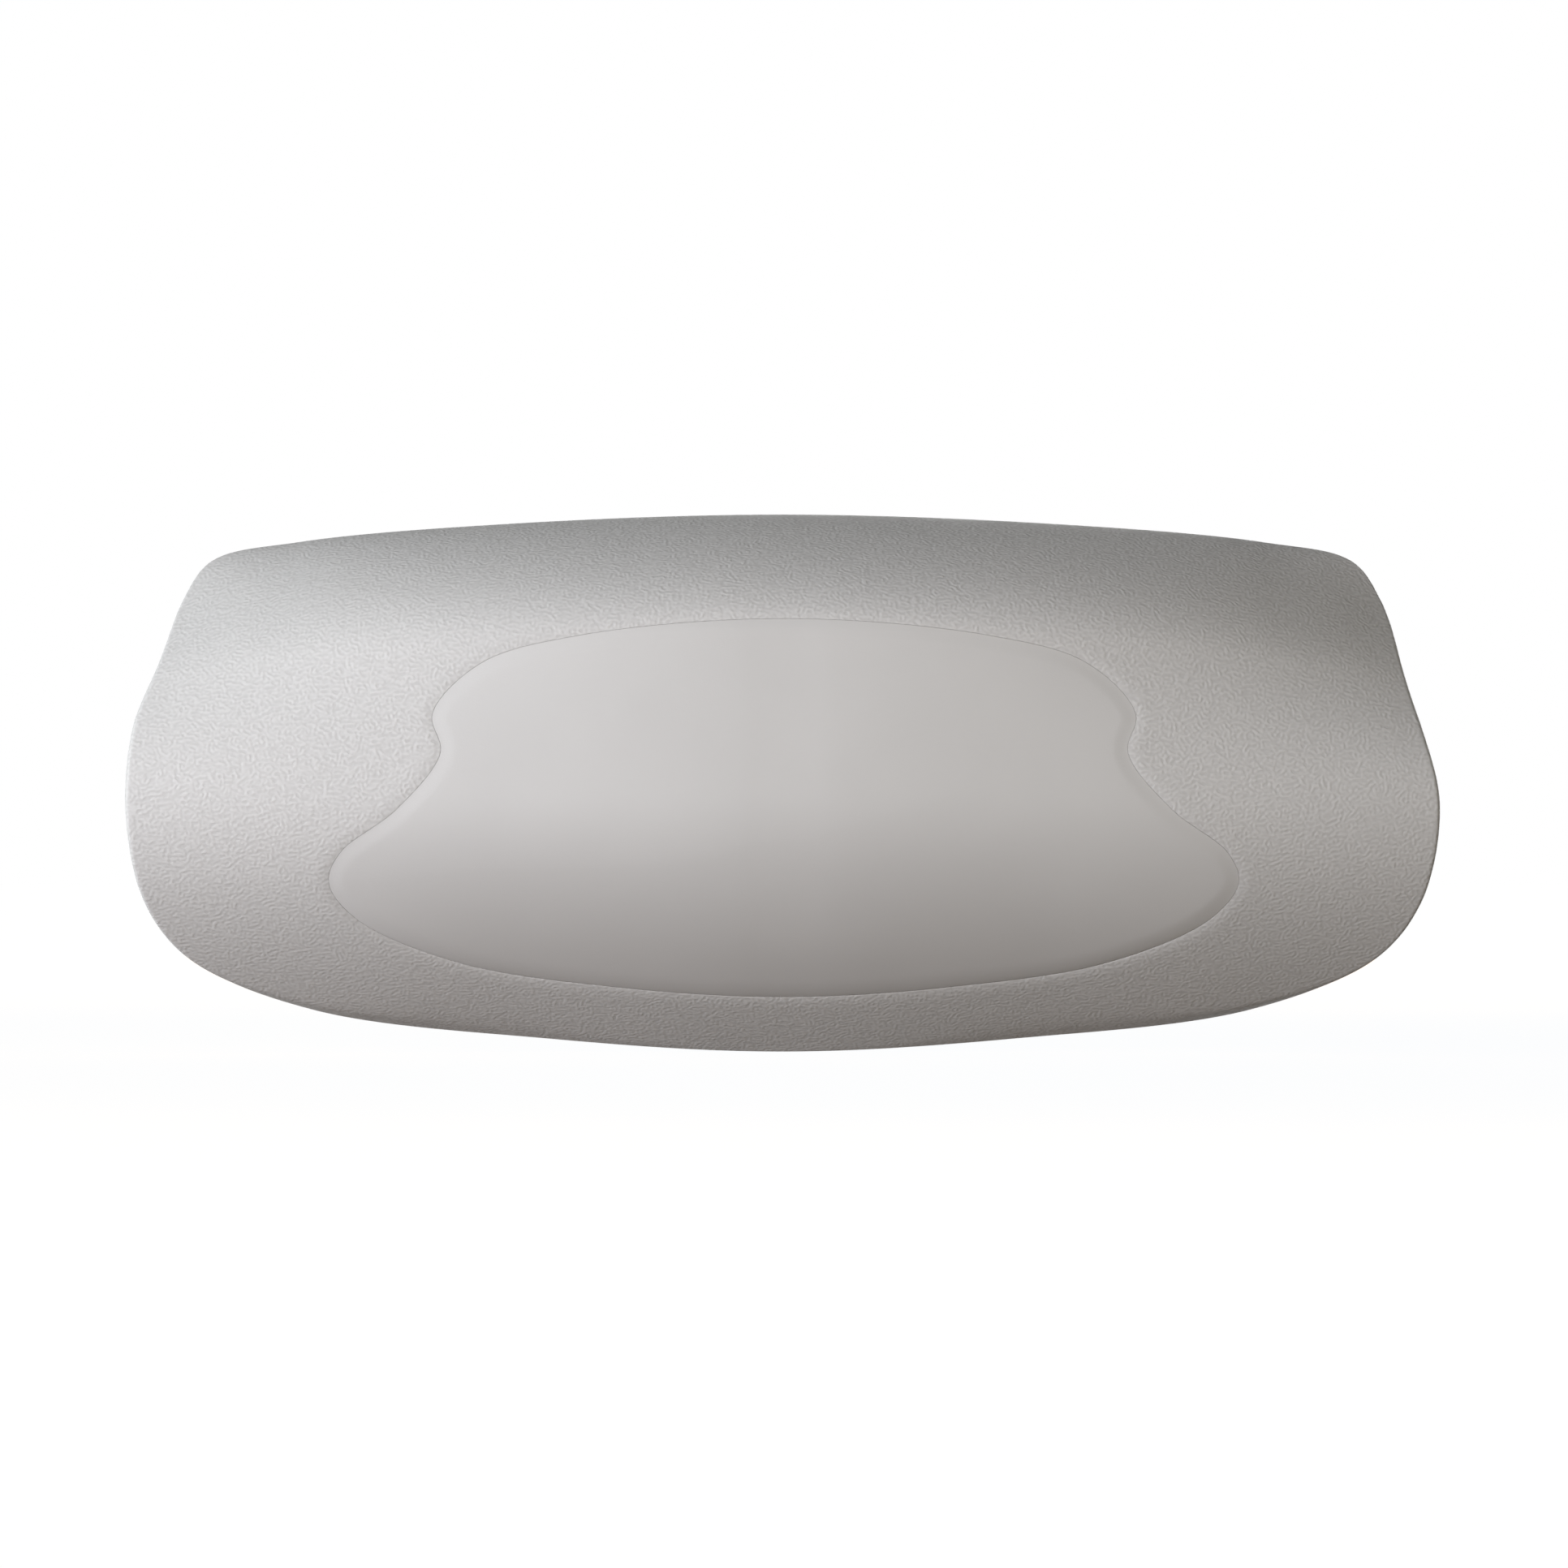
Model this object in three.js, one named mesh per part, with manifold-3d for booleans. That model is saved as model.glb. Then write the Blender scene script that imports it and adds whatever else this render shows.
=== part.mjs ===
// Moulded bath and spa pillow: a grained skin over a foam core, with a smooth raised head pad set into
// the front. A ribbed insert closes the back and carries two barbed pins that push into the tub wall.
// Millimetres. +Z is up, the front faces -Y, and the origin is the middle of the rear seat face,
// which lies on the tub wall.
import * as THREE from "three";
import { mergeVertices } from "three/addons/utils/BufferGeometryUtils.js";
import Module from "manifold-3d";

const wasm = await Module();
wasm.setup();

// Overall sizes
const PILLOW_WIDTH = 280;
const PILLOW_HEIGHT = 114.6;
const PILLOW_DEPTH = 58; // seat face to the crown of the front
const FIT_GAP = 0.3; // between neighbouring pieces
const CUT_PAST = 5; // how far a cutter runs past the face that it opens
const WELD = 1e-4; // corners closer than this are one

// Pillow outline seen from the front, right half, from the top round to the bottom. An inset is taken
// from the widest side, a drop from the top, a rise from the bottom and a height from the middle.
const BROW = { inset: 80, drop: 2.1 };
const SHOULDER_START = { inset: 37, drop: 5.9 };
const SHOULDER = { inset: 18.4, drop: 10 };
const SHOULDER_END = { inset: 12.5, drop: 18.3 };
const WAIST = { inset: 7.2, height: 24 };
const HIP_TOP = { inset: 2.3, height: 9.9 };
const HIP = { inset: 0, height: -6 };
const HIP_END = { inset: 3.9, rise: 31.8 };
const HEEL = { inset: 14.3, rise: 19.4 };
const BELLY = { inset: 39.8, rise: 9 };
const BELLY_MIDDLE = { inset: 90, rise: 2.8 };

// Crown of the front
const NOSE_HEIGHT = 2; // the front stands out furthest at this height, and slopes back below it
const UNDERSIDE_POWER = 1; // of a slope or roll: 1 is a parabola and 2 is an ellipse
const TOP_REACH = 24.5; // how far in from the top edge the roll runs
const TOP_POWER = 1.45;
const TOP_SETBACK = 6; // how much thinner the top is than the nose
const END_REACH = 2.5; // roll of the ends and of the lower edge
const END_POWER = 2;
const END_SETBACK = 13; // how far each end falls back
const END_BEND = 1.5; // how late it does: 1 is a straight slope
const SHOULDER_SETBACK = 36; // how much further the upper corners fall back
const SHOULDER_BEND = 3.2;
const SHOULDER_ROUND = 12; // how softly the top line levels out past the shoulder
const FLAT_HALF = 8; // half width of the level middle
const EDGE_DEPTH = 9; // seat face to the widest line
const BACK_ROUND = 7; // how far the back edge is rounded in

// Skin and head pad
const SKIN_WALL = 3.2;
const SEAT_PROUD = 0.6; // how far the insert's seat stands behind the skin
const PAD_FLOOR = 1.2; // skin left under the pad
const PAD_PROUD = 0.5; // crown of the pad above the skin
const PAD_EDGE_ROLL = 4; // how far in from its edge the pad rolls over
const PAD_EDGE_POWER = 2;
const GROOVE_WIDTH = 1.3; // chamfer of the skin beside the pad
const PAD_TOP = { drop: 23.1 };
const PAD_BROW = { inset: 96.6, drop: 26.7 };
const PAD_LOBE_START = { inset: 76.7, drop: 32.4 };
const PAD_LOBE = { inset: 66.7, height: 14.4 };
const PAD_NECK = { inset: 68.4, height: 6.4 };
const PAD_FLARE = { inset: 59.3, rise: 51.9 };
const PAD_TIP_START = { inset: 47.2, rise: 42.6 };
const PAD_TIP = { inset: 44.8, rise: 36.4 };
const PAD_TIP_END = { inset: 50.4, rise: 28.8 };
const PAD_BELLY = { inset: 71.5, rise: 19.5 };
const PAD_BELLY_MIDDLE = { inset: 104.9, rise: 14.2 };
const PAD_BOTTOM = { rise: 12.1 };

// Rear insert
const INSERT_END_MARGIN = 33; // widest side to the seat's end
const INSERT_EDGE_MARGIN = 24; // top and bottom to the seat's edge
const INSERT_CORNER = 22;
const INSERT_WALL = 2.5;
const FLANGE_REACH = 7; // how far the flange runs under the skin
const RIB_HEIGHT = 9;
const RIB_WALL = 2;
const RIB_LINE = 17; // height of each long rib from the middle
const RIB_BAYS = 5; // spaces that the cross ribs leave between the pins

// Mounting pins and their screws
const PIN_SPACING = 127;
const PIN_FLANGE_RADIUS = 13;
const PIN_FLANGE_THICKNESS = 3;
const PIN_STEM_RADIUS = 5;
const PIN_GRIP = 6; // seat face to the first barb, which takes the tub wall
const BARB_RADIUS = 6.8;
const BARB_PITCH = 4;
const BARB_COUNT = 3;
const PIN_NOSE_LENGTH = 3;
const PIN_NOSE_RADIUS = 2.5;
const SCREW_RADIUS = 2;
const SCREW_HEAD_RADIUS = 4;
const SCREW_HEAD_HEIGHT = 2.6;
const SCREW_BITE = 11; // length of the screw inside the pin
const WASHER_RADIUS = 6;
const WASHER_THICKNESS = 1.2;

// Facets
const SKIN_COLUMNS = 30;
const SKIN_ROWS = 6;
const CORE_COLUMNS = 20;
const CORE_ROWS = 4;
const BACK_ROWS = 2;
const PAD_COLUMNS = 28;
const PAD_ROWS = 5;
const PAD_FLOOR_ROWS = 3;
const SPINE_SHARE = 0.75; // length of the line that an outline's rows close in on, as a share of its width
const ROUND_SIDES = 32;
const SLIVER = 0.03; // a facet flatter than this is merged with its neighbours
const CURVE_SAMPLES = 40; // points on each span of an outline, for reading it as a graph

const halfWidth = PILLOW_WIDTH / 2;
const halfHeight = PILLOW_HEIGHT / 2;

// Even shares from 0 to 1, and shares that lie closer together near 0.
const range = (count) => Array.from({ length: count + 1 }, (_, i) => i / count);
const inwardShares = (count) => range(count).map((turn) => 1 - Math.cos((turn * Math.PI) / 2));

// Outlines

// A named outline point as x and z.
function place({ inset = halfWidth, drop, rise, height }) {
  const z = drop !== undefined ? halfHeight - drop : rise !== undefined ? rise - halfHeight : height;
  return new THREE.Vector3(halfWidth - inset, 0, z);
}

// A closed smooth curve through a right half and its mirror image, cut at its widest point into an
// upper and a lower part. at(part, share) runs each part from the left to the right.
function mirroredOutline(rightHalf, widest) {
  const right = rightHalf.map(place);
  const left = right.slice(1, -1).reverse().map((p) => new THREE.Vector3(-p.x, 0, p.z));
  const curve = new THREE.CatmullRomCurve3([...right, ...left], true, "centripetal");
  const spans = right.length + left.length;
  const widestSpan = rightHalf.indexOf(widest);
  const lastSpan = right.length - 1;
  const wrap = (span) => curve.getPoint((((span % spans) + spans) % spans) / spans);
  return {
    spans: rightHalf.length - 1,
    at: (part, share) =>
      part === "upper"
        ? wrap((2 * share - 1) * widestSpan)
        : wrap(lastSpan + (1 - 2 * share) * (lastSpan - widestSpan)),
  };
}

const pillowOutline = mirroredOutline(
  [
    { drop: 0 }, BROW, SHOULDER_START, SHOULDER, SHOULDER_END, WAIST, HIP_TOP, HIP,
    HIP_END, HEEL, BELLY, BELLY_MIDDLE, { rise: 0 },
  ],
  HIP,
);
const padOutline = mirroredOutline(
  [
    PAD_TOP, PAD_BROW, PAD_LOBE_START, PAD_LOBE, PAD_NECK, PAD_FLARE, PAD_TIP_START, PAD_TIP,
    PAD_TIP_END, PAD_BELLY, PAD_BELLY_MIDDLE, PAD_BOTTOM,
  ],
  PAD_TIP,
);

// Front surface

// The right half of one part of the pillow's outline as x and z lists, from the middle to the hip.
function graphOf(part) {
  const shares = range(CURVE_SAMPLES * pillowOutline.spans);
  const points = shares.map((share) => pillowOutline.at(part, (1 + share) / 2));
  return { x: points.map((p) => p.x), z: points.map((p) => p.z) };
}

// The value at a place in a list that only rises or only falls, read from the list beside it.
function readGraph(from, to, value) {
  const rising = from[from.length - 1] > from[0];
  let low = 0;
  let high = from.length - 1;
  while (high - low > 1) {
    const middle = (low + high) >> 1;
    if (from[middle] <= value === rising) low = middle;
    else high = middle;
  }
  const share = (value - from[low]) / (from[high] - from[low] || 1);
  return to[low] + (to[high] - to[low]) * Math.min(1, Math.max(0, share));
}

const upperEdge = graphOf("upper");
const lowerEdge = graphOf("lower");

// The roll of an edge, from 0 at the edge to 1, where it ends level at its reach.
function roll(distance, reach, power) {
  if (distance >= reach) return 1;
  const left = 1 - Math.max(0, distance) / reach;
  return Math.pow(1 - left * left, 1 / power);
}

// The lesser of a value and a limit, with the bend between them rounded off.
function softLimit(value, limit, round) {
  const past = THREE.MathUtils.clamp(value - limit + round, 0, 2 * round);
  return Math.min(value, limit + round) - (past * past) / (4 * round);
}

// Distance of the skin's front from the seat face, without the pad's recess. The top line that the
// front rolls over to follows the outline as far as the shoulder and runs level past it.
function frontDepth(x, z) {
  const side = Math.min(Math.abs(x), halfWidth);
  const topSide = softLimit(side, halfWidth - SHOULDER.inset, SHOULDER_ROUND);
  const top = readGraph(upperEdge.x, upperEdge.z, topSide);
  const bottom = readGraph(lowerEdge.x, lowerEdge.z, side);
  const edge = z > HIP.height ? upperEdge : lowerEdge;
  const end = readGraph(edge.z, edge.x, z);
  const rise = THREE.MathUtils.clamp((z - NOSE_HEIGHT) / (halfHeight - NOSE_HEIGHT), 0, 1);
  const outward = Math.max(0, side - FLAT_HALF) / (halfWidth - FLAT_HALF);
  const underside = roll(z + halfHeight, NOSE_HEIGHT + halfHeight, UNDERSIDE_POWER);
  const middle = (PILLOW_DEPTH - EDGE_DEPTH) * underside - TOP_SETBACK * rise * rise;
  const shoulder = SHOULDER_SETBACK * THREE.MathUtils.smoothstep(rise, 0, 1);
  const setback = END_SETBACK * Math.pow(outward, END_BEND) + shoulder * Math.pow(outward, SHOULDER_BEND);
  const edges =
    roll(top - z, TOP_REACH, TOP_POWER) *
    roll(end - side, END_REACH, END_POWER) *
    roll(z - bottom, END_REACH, END_POWER);
  return EDGE_DEPTH + Math.max(0, middle - setback) * edges;
}

// Meshes and solids

// Collects the faces of one closed surface and merges their shared corners.
class Faces {
  corners = [];
  quad(a, b, c, d) {
    this.triangle(a, b, c);
    this.triangle(a, c, d);
  }
  triangle(a, b, c) {
    if (a.distanceTo(b) < WELD || b.distanceTo(c) < WELD || c.distanceTo(a) < WELD) return;
    for (const p of [a, b, c]) this.corners.push(p.x, p.y, p.z);
  }
  // Joins rows of points that run alike, row by row.
  rows(list, flip) {
    for (let j = 0; j + 1 < list.length; j++) {
      for (let k = 0; k + 1 < list[j].length; k++) {
        const ring = [list[j][k], list[j][k + 1], list[j + 1][k + 1], list[j + 1][k]];
        this.quad(...(flip ? ring.reverse() : ring));
      }
    }
  }
  geometry() {
    const bare = new THREE.BufferGeometry();
    bare.setAttribute("position", new THREE.Float32BufferAttribute(this.corners, 3));
    return mergeVertices(bare, WELD);
  }
}

function solidOf(geometry) {
  const bare = new THREE.BufferGeometry();
  const loose = geometry.index ? geometry.toNonIndexed() : geometry;
  bare.setAttribute("position", loose.getAttribute("position"));
  const merged = mergeVertices(bare, WELD);
  return new wasm.Manifold(
    new wasm.Mesh({
      numProp: 3,
      vertProperties: merged.attributes.position.array,
      triVerts: new Uint32Array(merged.index.array),
    }),
  );
}

// The surface of a cut solid, without the slivers that a cut leaves.
function geometryOf(solid) {
  const { vertProperties, triVerts } = solid.simplify(SLIVER).getMesh();
  const geometry = new THREE.BufferGeometry();
  geometry.setAttribute("position", new THREE.BufferAttribute(new Float32Array(vertProperties), 3));
  geometry.setIndex(new THREE.BufferAttribute(new Uint32Array(triVerts), 1));
  const faceted = geometry.toNonIndexed();
  faceted.computeVertexNormals();
  return faceted;
}

// The upper and lower edge of an outline by columns, each with its place on the spine between them.
function columnsOf(outline, columns) {
  const spineZ = outline.at("upper", 0).z;
  return range(columns).map((share) => {
    const upper = outline.at("upper", share);
    const lower = outline.at("lower", share);
    const spine = new THREE.Vector3((SPINE_SHARE * (upper.x + lower.x)) / 2, 0, spineZ);
    return { upper, lower, spine };
  });
}

// The direction straight out of an outline at one of its columns.
function outwardAt(grid, part, k) {
  if (k === 0) return new THREE.Vector3(-1, 0, 0);
  if (k === grid.length - 1) return new THREE.Vector3(1, 0, 0);
  const along = grid[k + 1][part].clone().sub(grid[k - 1][part]);
  const out = new THREE.Vector3(-along.z, 0, along.x).normalize();
  return part === "upper" ? out : out.negate();
}

// The whole pillow as one closed surface, moved in from its true surface by an inset.
function pillowGeometry(columns, frontRows, inset) {
  const faces = new Faces();
  const grid = columnsOf(pillowOutline, columns);
  const frontRow = (part, share) =>
    grid.map(({ [part]: edge, spine }) => {
      const p = edge.clone().lerp(spine, share);
      return p.setY(share === 0 ? -EDGE_DEPTH : -frontDepth(p.x, p.z));
    });
  const backRow = (part, turn) =>
    grid.map(({ [part]: edge }, k) => {
      const inward = BACK_ROUND * (1 - Math.cos((turn * Math.PI) / 2));
      const p = edge.clone().addScaledVector(outwardAt(grid, part, k), -inward);
      p.y = -EDGE_DEPTH + (EDGE_DEPTH - SEAT_PROUD) * Math.sin((turn * Math.PI) / 2);
      return p;
    });
  const backEdge = {};
  for (const part of ["upper", "lower"]) {
    const fronts = inwardShares(frontRows).map((share) => frontRow(part, share));
    const backs = range(BACK_ROWS).map((turn) => backRow(part, turn));
    backEdge[part] = backs[BACK_ROWS];
    faces.rows(fronts, part === "upper");
    faces.rows(backs, part === "lower");
  }
  faces.rows([backEdge.upper, backEdge.lower], false);
  const geometry = faces.geometry();
  if (inset === 0) return geometry;
  geometry.computeVertexNormals();
  const position = geometry.getAttribute("position");
  const normal = geometry.getAttribute("normal");
  const array = position.array.map((value, i) => value - inset * normal.array[i]);
  geometry.setAttribute("position", new THREE.BufferAttribute(array, 3));
  return geometry;
}

// A plate over the head pad's outline. Each of its levels, from the back to the front, has a height
// over the skin and is grown sideways. rise(distance) gives the height of its front, inward from its edge.
function padGeometry(levels, frontRows, rise) {
  const faces = new Faces();
  const grid = columnsOf(padOutline, PAD_COLUMNS);
  const edgeAt = (part, k, grow) =>
    grid[k][part].clone().addScaledVector(outwardAt(grid, part, k), grow);
  const onSkin = (p, height) => p.setY(-frontDepth(p.x, p.z) - height);
  const row = (part, grow, share, heightAt) =>
    grid.map(({ spine }, k) => {
      const edge = edgeAt(part, k, grow);
      const p = edge.clone().lerp(spine, share);
      return onSkin(p, heightAt(p.distanceTo(edge)));
    });
  const back = levels[0];
  const front = levels[levels.length - 1];
  for (const part of ["upper", "lower"]) {
    const wall = levels.map(({ grow, height }) => row(part, grow, 0, () => height));
    const face = inwardShares(frontRows).map((share) => row(part, front.grow, share, rise));
    const floor = range(PAD_FLOOR_ROWS).map((share) => row(part, back.grow, share, () => back.height));
    faces.rows(wall, part === "upper");
    faces.rows(face, part === "upper");
    faces.rows(floor, part === "lower");
  }
  return faces.geometry();
}

// A prism along Y over a flat outline, from its back plane to its front plane.
function prism(shape, back, front) {
  const geometry = new THREE.ExtrudeGeometry(shape, {
    depth: back - front,
    bevelEnabled: false,
    curveSegments: ROUND_SIDES / 4,
  });
  return solidOf(geometry.rotateX(Math.PI / 2).translate(0, back, 0));
}

function roundedRectangle(halfX, halfZ, corner) {
  const shape = new THREE.Shape();
  shape.moveTo(halfX - corner, -halfZ);
  shape.absarc(halfX - corner, corner - halfZ, corner, -Math.PI / 2, 0);
  shape.absarc(halfX - corner, halfZ - corner, corner, 0, Math.PI / 2);
  shape.absarc(corner - halfX, halfZ - corner, corner, Math.PI / 2, Math.PI);
  shape.absarc(corner - halfX, corner - halfZ, corner, Math.PI, (3 * Math.PI) / 2);
  return shape;
}

function cylinder(x, radius, back, front) {
  const geometry = new THREE.CylinderGeometry(radius, radius, back - front, ROUND_SIDES);
  return solidOf(geometry.translate(x, (back + front) / 2, 0));
}

function box(halfX, halfZ, x, z, back, front) {
  const geometry = new THREE.BoxGeometry(2 * halfX, back - front, 2 * halfZ);
  return solidOf(geometry.translate(x, (back + front) / 2, z));
}

// A turned solid about Y through the origin, from radius and y pairs that start and end on the axis,
// or that close on themselves.
function turned(profile) {
  return new THREE.LatheGeometry(profile.map(([r, y]) => new THREE.Vector2(r, y)), ROUND_SIDES);
}

// Places along Y, counted from the seat face, and half sizes of the seat
const lipFront = -(SEAT_PROUD + SKIN_WALL);
const flangeBack = lipFront - FIT_GAP;
const flangeFront = flangeBack - INSERT_WALL;
const ribBack = -INSERT_WALL / 2;
const ribFront = -(INSERT_WALL + RIB_HEIGHT);
const pinFlangeBack = -FIT_GAP;
const pinFlangeFront = pinFlangeBack - PIN_FLANGE_THICKNESS;
const cupFloor = pinFlangeFront - FIT_GAP;
const bossFront = cupFloor - INSERT_WALL;
const washerBack = bossFront - FIT_GAP;
const washerFront = washerBack - WASHER_THICKNESS;
const headBack = washerFront - FIT_GAP;
const headFront = headBack - SCREW_HEAD_HEIGHT;
const screwTip = pinFlangeFront + SCREW_BITE;
const seatHalfX = halfWidth - INSERT_END_MARGIN;
const seatHalfZ = halfHeight - INSERT_EDGE_MARGIN;
const padRecess = SKIN_WALL - PAD_FLOOR;
const pinPlaces = [-PIN_SPACING / 2, PIN_SPACING / 2];
const outerRib = (PIN_SPACING / 2 + seatHalfX) / 2;
const ribPlaces = [-outerRib, ...range(RIB_BAYS).map((share) => PIN_SPACING * (share - 0.5)), outerRib];
const seatOutline = (grow) => roundedRectangle(seatHalfX + grow, seatHalfZ + grow, INSERT_CORNER + grow);

// Head pad: a crowned plate that lies in the skin's recess, with its edge rolled into the groove.
function padSolid() {
  const edgeHeight = -padRecess / 2;
  const levels = [
    { grow: 0, height: FIT_GAP - padRecess },
    { grow: 0, height: edgeHeight },
  ];
  const crown = (distance) =>
    edgeHeight + (PAD_PROUD - edgeHeight) * roll(distance, PAD_EDGE_ROLL, PAD_EDGE_POWER);
  return solidOf(padGeometry(levels, PAD_ROWS, crown));
}

// Room for the pad in the skin, with a chamfered mouth that makes the groove round the pad.
function padRoom() {
  const mouth = FIT_GAP + GROOVE_WIDTH;
  const levels = [
    { grow: FIT_GAP, height: -padRecess },
    { grow: FIT_GAP, height: -padRecess / 2 },
    { grow: mouth, height: 0 },
    { grow: mouth, height: CUT_PAST },
  ];
  return solidOf(padGeometry(levels, PAD_FLOOR_ROWS, () => CUT_PAST));
}

// Grained skin: a shell open at the back, with a lip round the insert's seat.
function skinSolid() {
  const outside = solidOf(pillowGeometry(SKIN_COLUMNS, SKIN_ROWS, 0));
  const inside = solidOf(pillowGeometry(CORE_COLUMNS, CORE_ROWS, SKIN_WALL));
  const opening = prism(seatOutline(FIT_GAP), CUT_PAST, lipFront - CUT_PAST);
  return outside.subtract(inside).subtract(opening).subtract(padRoom());
}

// Rear insert: a hollow seat with a flange under the skin's lip, ribs, and a boss for each pin. Grown
// all round by a gap, it is the room that it takes in the foam.
function insertBody(grow) {
  const seat = prism(seatOutline(grow), grow, flangeFront - grow);
  const flange = prism(seatOutline(FLANGE_REACH + grow), flangeBack + grow, flangeFront - grow);
  const hollow = prism(seatOutline(-INSERT_WALL - grow), -INSERT_WALL - grow, flangeFront - CUT_PAST);
  const ribHalf = RIB_WALL / 2 + grow;
  const longRibs = [-RIB_LINE, RIB_LINE].map((z) => box(seatHalfX, ribHalf, 0, z, ribBack, ribFront - grow));
  const crossRibs = ribPlaces.map((x) => box(ribHalf, seatHalfZ, x, 0, ribBack, ribFront - grow));
  const ribs = [...longRibs, ...crossRibs].reduce((all, rib) => all.add(rib));
  const ribRoom = prism(seatOutline(grow - INSERT_WALL / 2), 0, ribFront - CUT_PAST);
  let solid = seat.add(flange).subtract(hollow).add(ribs.intersect(ribRoom));
  const bossRadius = PIN_FLANGE_RADIUS + FIT_GAP + INSERT_WALL + grow;
  for (const x of pinPlaces) solid = solid.add(cylinder(x, bossRadius, ribBack, bossFront - grow));
  return solid;
}

// Cups for the pins' flanges behind the bosses, and room in front of them for the washers and screws.
function insertSolid() {
  let solid = insertBody(0);
  for (const x of pinPlaces) {
    solid = solid
      .subtract(cylinder(x, PIN_FLANGE_RADIUS + FIT_GAP, CUT_PAST, cupFloor))
      .subtract(cylinder(x, SCREW_RADIUS + FIT_GAP, CUT_PAST, bossFront - CUT_PAST))
      .subtract(cylinder(x, WASHER_RADIUS + FIT_GAP, bossFront, ribFront - CUT_PAST));
  }
  return solid;
}

// Foam core: fills the skin and the insert's hollow, with room for the ribs, bosses and screws.
function foamSolid() {
  const filling = solidOf(pillowGeometry(CORE_COLUMNS, CORE_ROWS, SKIN_WALL + FIT_GAP));
  const plug = prism(seatOutline(0), ribBack, flangeFront - CUT_PAST);
  let solid = filling.add(plug).subtract(insertBody(FIT_GAP));
  for (const x of pinPlaces) {
    solid = solid.subtract(cylinder(x, WASHER_RADIUS + FIT_GAP, ribBack, headFront - FIT_GAP));
  }
  return solid;
}

// Mounting pin: a flange in the insert's cup, a stem, a row of barbs and a blunt nose.
function pinGeometry() {
  const core = SCREW_RADIUS + FIT_GAP;
  const profile = [
    [0, screwTip + FIT_GAP],
    [core, screwTip + FIT_GAP],
    [core, pinFlangeFront],
    [PIN_FLANGE_RADIUS, pinFlangeFront],
    [PIN_FLANGE_RADIUS, pinFlangeBack],
    [PIN_STEM_RADIUS, pinFlangeBack],
  ];
  for (let i = 0; i < BARB_COUNT; i++) {
    const y = PIN_GRIP + i * BARB_PITCH;
    profile.push([PIN_STEM_RADIUS, y], [BARB_RADIUS, y]);
  }
  const noseBack = PIN_GRIP + BARB_COUNT * BARB_PITCH;
  const tip = noseBack + PIN_NOSE_LENGTH;
  profile.push([PIN_STEM_RADIUS, noseBack], [PIN_NOSE_RADIUS, tip], [0, tip]);
  return turned(profile);
}

function screwGeometry() {
  const headRound = SCREW_HEAD_HEIGHT / 3;
  return turned([
    [0, headFront],
    [SCREW_HEAD_RADIUS - headRound, headFront],
    [SCREW_HEAD_RADIUS, headFront + headRound],
    [SCREW_HEAD_RADIUS, headBack],
    [SCREW_RADIUS, headBack],
    [SCREW_RADIUS, screwTip - SCREW_RADIUS],
    [0, screwTip],
  ]);
}

function washerGeometry() {
  const hole = SCREW_RADIUS + FIT_GAP;
  return turned([
    [hole, washerFront],
    [WASHER_RADIUS, washerFront],
    [WASHER_RADIUS, washerBack],
    [hole, washerBack],
    [hole, washerFront],
  ]);
}

// Assembly

const grainedGrey = { color: 0xc7c4c1, roughness: 0.55, metalness: 0 };
const smoothGrey = { color: 0xcdcbc9, roughness: 0.42, metalness: 0 };
const foamGrey = { color: 0xb9b8b4, roughness: 0.95, metalness: 0 };
const insertGrey = { color: 0x8f9192, roughness: 0.5, metalness: 0 };
const pinWhite = { color: 0xe6e6e1, roughness: 0.4, metalness: 0 };
const stainless = { color: 0xb8babc, roughness: 0.3, metalness: 1 };

function piece(name, geometry, finish) {
  const mesh = new THREE.Mesh(geometry, new THREE.MeshStandardMaterial(finish));
  mesh.name = name;
  return mesh;
}

const pillow = new THREE.Group();
pillow.add(
  piece("grained_skin", geometryOf(skinSolid()), grainedGrey),
  piece("head_pad", geometryOf(padSolid()), smoothGrey),
  piece("foam_core", geometryOf(foamSolid()), foamGrey),
  piece("rear_insert", geometryOf(insertSolid()), insertGrey),
);
for (const x of pinPlaces) {
  const side = x < 0 ? "left" : "right";
  const fastening = new THREE.Group();
  fastening.position.x = x;
  fastening.add(
    piece(`${side}_mounting_pin`, pinGeometry(), pinWhite),
    piece(`${side}_pin_screw`, screwGeometry(), stainless),
    piece(`${side}_pin_washer`, washerGeometry(), stainless),
  );
  pillow.add(fastening);
}

export default pillow;
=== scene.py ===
import bmesh
import bpy
import math
import numpy as np
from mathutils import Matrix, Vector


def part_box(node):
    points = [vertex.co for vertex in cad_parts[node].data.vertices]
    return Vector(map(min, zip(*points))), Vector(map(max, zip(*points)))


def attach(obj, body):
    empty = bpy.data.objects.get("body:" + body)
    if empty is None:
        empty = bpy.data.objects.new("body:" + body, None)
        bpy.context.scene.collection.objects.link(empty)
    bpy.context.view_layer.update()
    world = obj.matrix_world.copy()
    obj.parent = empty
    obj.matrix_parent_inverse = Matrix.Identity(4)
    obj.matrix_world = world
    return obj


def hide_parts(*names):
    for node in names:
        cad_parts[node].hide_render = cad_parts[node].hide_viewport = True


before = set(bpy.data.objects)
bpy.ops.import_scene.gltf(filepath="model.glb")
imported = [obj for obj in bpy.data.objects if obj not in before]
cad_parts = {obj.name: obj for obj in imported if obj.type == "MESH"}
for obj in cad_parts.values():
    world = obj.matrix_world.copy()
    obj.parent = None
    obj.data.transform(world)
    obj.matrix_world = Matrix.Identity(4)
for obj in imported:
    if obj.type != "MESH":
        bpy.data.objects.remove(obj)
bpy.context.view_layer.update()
skinLow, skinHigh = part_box("grained_skin")
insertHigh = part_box("rear_insert")[1]
halfWidth = skinHigh[0]
halfHeight = skinHigh[2]
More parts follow.
